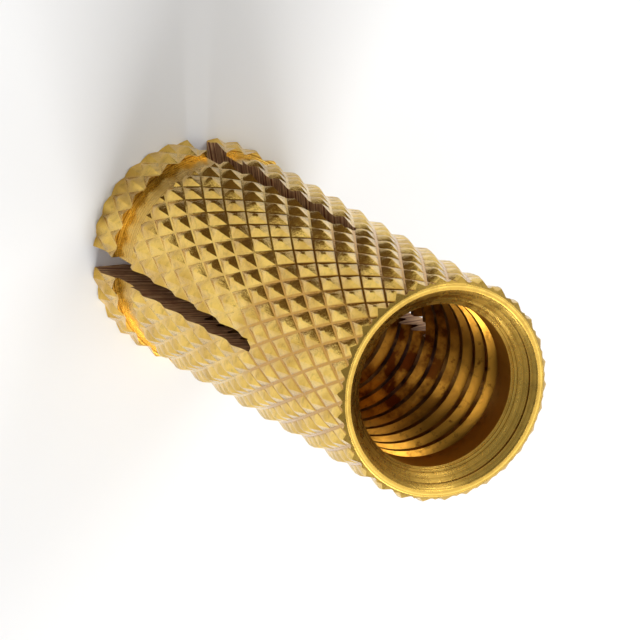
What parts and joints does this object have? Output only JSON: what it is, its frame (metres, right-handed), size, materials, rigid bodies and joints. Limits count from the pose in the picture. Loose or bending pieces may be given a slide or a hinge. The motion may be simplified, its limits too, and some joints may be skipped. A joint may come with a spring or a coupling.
{
  "type": "expansion anchor",
  "caption": "Knurled brass expansion sleeve, internally threaded at its mouth and slotted into legs that a bolt forces apart in a drilled hole.",
  "frame": {"origin": "centre of the slotted end, on the plane the tips stand on", "axes": "+Z along the bore, from the slotted tips to the mouth; +X and +Y pass through the middles of two legs, so the slots lie at 45 degrees between them"},
  "size_m": [0.0126, 0.0126, 0.032],
  "materials": {
    "brass": "machined bright, knurled outside"
  },
  "bodies": {
    "root": {"anchor_sleeve": "brass"}
  },
  "joints": []
}
